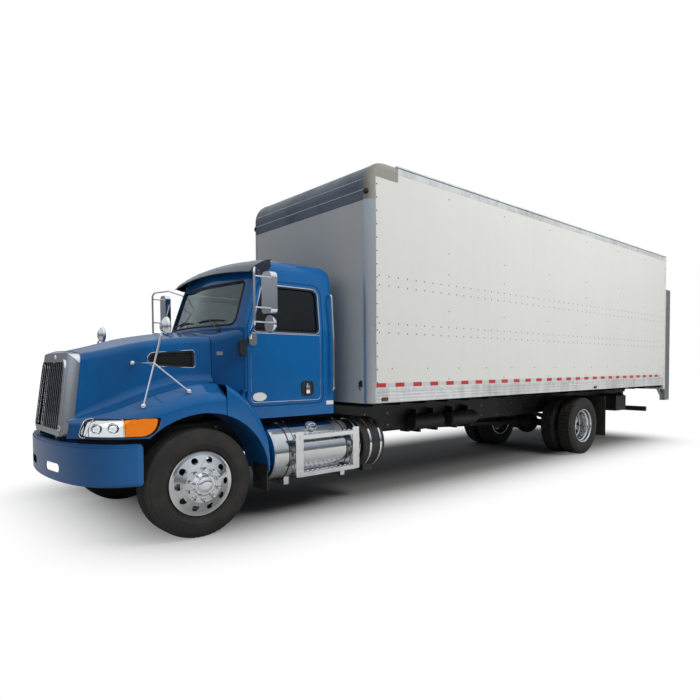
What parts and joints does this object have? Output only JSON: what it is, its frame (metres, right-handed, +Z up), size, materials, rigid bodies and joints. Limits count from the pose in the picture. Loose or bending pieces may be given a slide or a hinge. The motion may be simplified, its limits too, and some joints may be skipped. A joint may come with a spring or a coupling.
{
  "type": "box truck",
  "caption": "Bonneted two-axle box truck with a long van body, roll-up rear door and a rail lift gate.",
  "frame": {"origin": "on the ground at the middle of the truck's overall box", "axes": "+X forward, +Y to the truck's left, +Z up"},
  "size_m": [11.885, 2.778, 3.9649],
  "materials": {
    "blue_paint": "gloss enamel",
    "white_panel": "semi-gloss, slightly weathered",
    "body_aluminium": "mill finish, weathered",
    "polished_aluminium": "mirror polished",
    "chrome": "bright",
    "black_steel": "satin chassis black",
    "grey_steel": "galvanised, dull",
    "cast_steel": "dull",
    "tyre_rubber": "matt",
    "black_rubber": "matt",
    "glass": "tinted",
    "lamp": "clear and amber lenses",
    "headlamp": "clear lens",
    "trim_plastic": "grained",
    "seat_fabric": "woven",
    "hardwood": "oiled planks",
    "mesh_black": "matt"
  },
  "bodies": {
    "chassis": {"frame": "black_steel", "engine_block": "cast_steel", "radiator": "cast_steel", "driveshaft": "cast_steel", "front_axle": "black_steel", "rear_axle": "black_steel", "leaf_springs": "black_steel", "bumper": "blue_paint", "cab_shell": "blue_paint", "cowl": "blue_paint", "sun_visor": "chrome", "cab_glass": "glass", "dashboard": "trim_plastic", "seats": "seat_fabric", "grab_handles": "chrome", "fuel_tank": "polished_aluminium", "tank_mounts": "polished_aluminium", "battery_box": "polished_aluminium", "exhaust": "grey_steel", "air_tanks": "black_steel", "mud_flaps": "black_rubber", "underride_guard": "black_steel", "gate_pump": "black_steel", "subframe": "black_steel", "load_floor": "hardwood", "body_walls": "white_panel", "body_rails": "body_aluminium", "nose_sheet": "body_aluminium", "corner_posts": "body_aluminium", "roof": "body_aluminium", "rear_frame": "white_panel", "roll_door": "white_panel", "marker_lamps": "lamp", "gate_columns": "grey_steel"},
    "hood": {"hood_shell": "blue_paint", "grille_surround": "chrome", "grille_bars": "chrome", "headlamps": "headlamp", "intake_panels": "mesh_black", "hood_mirrors": "chrome"},
    "left_door": {"door_left": "blue_paint", "door_glass_left": "glass", "mirror_left": "chrome"},
    "right_door": {"door_right": "blue_paint", "door_glass_right": "glass", "mirror_right": "chrome"},
    "left_knuckle": {"knuckle_left": "cast_steel"},
    "right_knuckle": {"knuckle_right": "cast_steel"},
    "steering_link": {"tie_rod": "black_steel"},
    "front_left_wheel": {"wheel_front_left": "polished_aluminium", "tyre_front_left": "tyre_rubber"},
    "front_right_wheel": {"wheel_front_right": "polished_aluminium", "tyre_front_right": "tyre_rubber"},
    "rear_left_wheels": {"wheels_rear_left": "polished_aluminium", "tyres_rear_left": "tyre_rubber"},
    "rear_right_wheels": {"wheels_rear_right": "polished_aluminium", "tyres_rear_right": "tyre_rubber"},
    "gate_carriage": {"gate_slide": "grey_steel"},
    "gate_deck": {"gate_platform": "body_aluminium"}
  },
  "joints": [
    {"name": "hood_tilt", "type": "hinge", "parent": "chassis", "child": "hood", "pos_m": [5.8675, 0, 0.945], "axis": [0, 1, 0], "range_deg": [0, 60]},
    {"name": "left_door_swing", "type": "hinge", "parent": "chassis", "child": "left_door", "pos_m": [4.3025, 0.968, 1.53], "axis": [0, 0, -1], "range_deg": [0, 70]},
    {"name": "right_door_swing", "type": "hinge", "parent": "chassis", "child": "right_door", "pos_m": [4.3025, -0.968, 1.53], "axis": [0, 0, 1], "range_deg": [0, 70]},
    {"name": "steer_left", "type": "hinge", "parent": "chassis", "child": "left_knuckle", "pos_m": [4.9025, 0.88, 0.508], "axis": [0, 0, 1], "range_deg": [-35, 35]},
    {"name": "steer_right", "type": "hinge", "parent": "chassis", "child": "right_knuckle", "pos_m": [4.9025, -0.88, 0.508], "axis": [0, 0, 1], "range_deg": [-35, 35]},
    {"name": "link_left_ball", "type": "hinge", "parent": "left_knuckle", "child": "steering_link", "pos_m": [4.6975, 0.88, 0.395], "axis": [0, 0, 1], "range_deg": [-35, 35]},
    {"name": "front_left_roll", "type": "hinge", "parent": "left_knuckle", "child": "front_left_wheel", "pos_m": [4.9025, 1.06, 0.508], "axis": [0, 1, 0], "continuous": true},
    {"name": "front_right_roll", "type": "hinge", "parent": "right_knuckle", "child": "front_right_wheel", "pos_m": [4.9025, -1.06, 0.508], "axis": [0, 1, 0], "continuous": true},
    {"name": "rear_left_roll", "type": "hinge", "parent": "chassis", "child": "rear_left_wheels", "pos_m": [-2.2075, 0.905, 0.508], "axis": [0, 1, 0], "continuous": true},
    {"name": "rear_right_roll", "type": "hinge", "parent": "chassis", "child": "rear_right_wheels", "pos_m": [-2.2075, -0.905, 0.508], "axis": [0, 1, 0], "continuous": true},
    {"name": "gate_lift", "type": "slide", "parent": "chassis", "child": "gate_carriage", "axis": [0, 0, -1], "range_m": [0, 1.14]},
    {"name": "gate_fold", "type": "hinge", "parent": "gate_carriage", "child": "gate_deck", "pos_m": [-5.8175, 0, 1.2], "axis": [0, -1, 0], "range_deg": [0, 90]}
  ],
  "couplings": [
    {"joint": "steer_right", "follows": "steer_left", "ratio": 1},
    {"joint": "link_left_ball", "follows": "steer_left", "ratio": -1}
  ]
}
